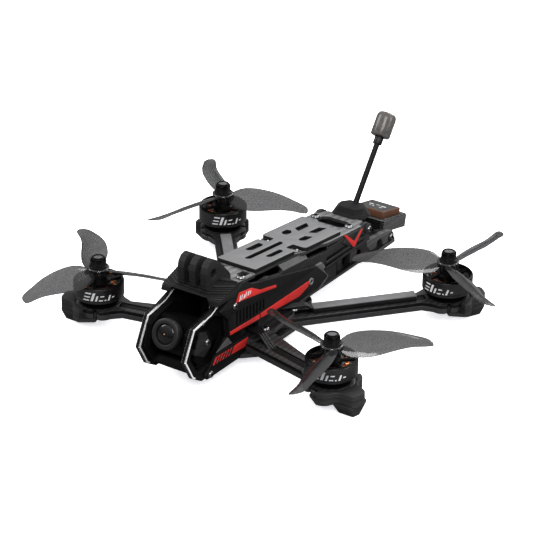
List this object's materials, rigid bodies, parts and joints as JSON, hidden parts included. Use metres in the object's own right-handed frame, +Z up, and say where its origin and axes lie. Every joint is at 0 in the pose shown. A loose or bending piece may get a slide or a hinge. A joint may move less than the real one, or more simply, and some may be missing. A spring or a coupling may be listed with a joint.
{
  "type": "fpv racing drone",
  "caption": "Carbon-frame FPV drone with spinning three-blade propellers, tilting nose camera, finger mount for an action camera, sloped battery deck, tail antenna and GPS.",
  "frame": {"origin": "on the floor the feet stand on, under the centre of the rectangle made by the motor axes", "axes": "+Z up, nose towards -Y, the drone's left side towards +X"},
  "size_m": [0.2392, 0.2347, 0.0861],
  "materials": {
    "carbon": "woven carbon plate, satin",
    "tpu": "printed flexible plastic, matte",
    "pad": "smooth grip sheet, matte grey top",
    "black_aluminium": "black anodised, bright cut edge",
    "side_shell": "matte black with red stripes",
    "motor_black": "black anodised, gloss",
    "copper": "enamelled wire",
    "laminations": "stacked sheet",
    "steel": "bright",
    "magnet": "nickel plated",
    "prop": "smoky, slightly see-through",
    "nut": "black",
    "camera_case": "matte black",
    "lens": "gloss black with coated glass",
    "board": "black circuit board",
    "radio": "dark finned case",
    "mast": "black sleeve",
    "cap": "smoky see-through",
    "patch": "unglazed brown",
    "strip": "frosted light guide",
    "wire": "silicone sleeve"
  },
  "bodies": {
    "airframe": {"arm_front_left": "carbon", "arm_guard_front_left": "tpu", "motor_base_front_left": "motor_black", "arm_front_right": "carbon", "arm_guard_front_right": "tpu", "motor_base_front_right": "motor_black", "arm_rear_left": "carbon", "arm_guard_rear_left": "tpu", "motor_base_rear_left": "motor_black", "arm_rear_right": "carbon", "arm_guard_rear_right": "tpu", "motor_base_rear_right": "motor_black", "stators": "laminations", "windings": "copper", "bearings": "steel", "motor_screws": "steel", "motor_wires": "wire", "light_strips": "strip", "bottom_plate": "carbon", "mid_plate": "carbon", "top_plate": "carbon", "battery_pad": "pad", "camera_plate_left": "black_aluminium", "camera_plate_right": "black_aluminium", "side_wall_left": "side_shell", "side_wall_right": "side_shell", "side_panel_left": "side_shell", "side_panel_right": "side_shell", "nose_mount": "tpu", "camera_mounts": "tpu", "flight_controller": "board", "air_unit": "radio", "tail_mount": "tpu", "antenna_mast": "mast", "antenna_cap": "cap", "gps_module": "patch", "standoffs": "black_aluminium", "frame_screws": "steel"},
    "rotor_front_left": {"motor_bell_front_left": "motor_black", "magnets_front_left": "magnet", "motor_shaft_front_left": "steel", "propeller_front_left": "prop", "prop_nut_front_left": "nut"},
    "rotor_front_right": {"motor_bell_front_right": "motor_black", "magnets_front_right": "magnet", "motor_shaft_front_right": "steel", "propeller_front_right": "prop", "prop_nut_front_right": "nut"},
    "rotor_rear_left": {"motor_bell_rear_left": "motor_black", "magnets_rear_left": "magnet", "motor_shaft_rear_left": "steel", "propeller_rear_left": "prop", "prop_nut_rear_left": "nut"},
    "rotor_rear_right": {"motor_bell_rear_right": "motor_black", "magnets_rear_right": "magnet", "motor_shaft_rear_right": "steel", "propeller_rear_right": "prop", "prop_nut_rear_right": "nut"},
    "camera": {"camera_body": "camera_case", "camera_lens": "lens"}
  },
  "joints": [
    {"name": "rotor_spin_front_left", "type": "hinge", "parent": "airframe", "child": "rotor_front_left", "pos_m": [0.076, -0.0586, 0.027], "axis": [0, 0, 1], "continuous": true},
    {"name": "rotor_spin_front_right", "type": "hinge", "parent": "airframe", "child": "rotor_front_right", "pos_m": [-0.076, -0.0586, 0.027], "axis": [0, 0, 1], "continuous": true},
    {"name": "rotor_spin_rear_left", "type": "hinge", "parent": "airframe", "child": "rotor_rear_left", "pos_m": [0.076, 0.0586, 0.027], "axis": [0, 0, 1], "continuous": true},
    {"name": "rotor_spin_rear_right", "type": "hinge", "parent": "airframe", "child": "rotor_rear_right", "pos_m": [-0.076, 0.0586, 0.027], "axis": [0, 0, 1], "continuous": true},
    {"name": "camera_tilt", "type": "hinge", "parent": "airframe", "child": "camera", "pos_m": [0, -0.0859, 0.0284], "axis": [1, 0, 0], "range_deg": [-20, 20]}
  ]
}
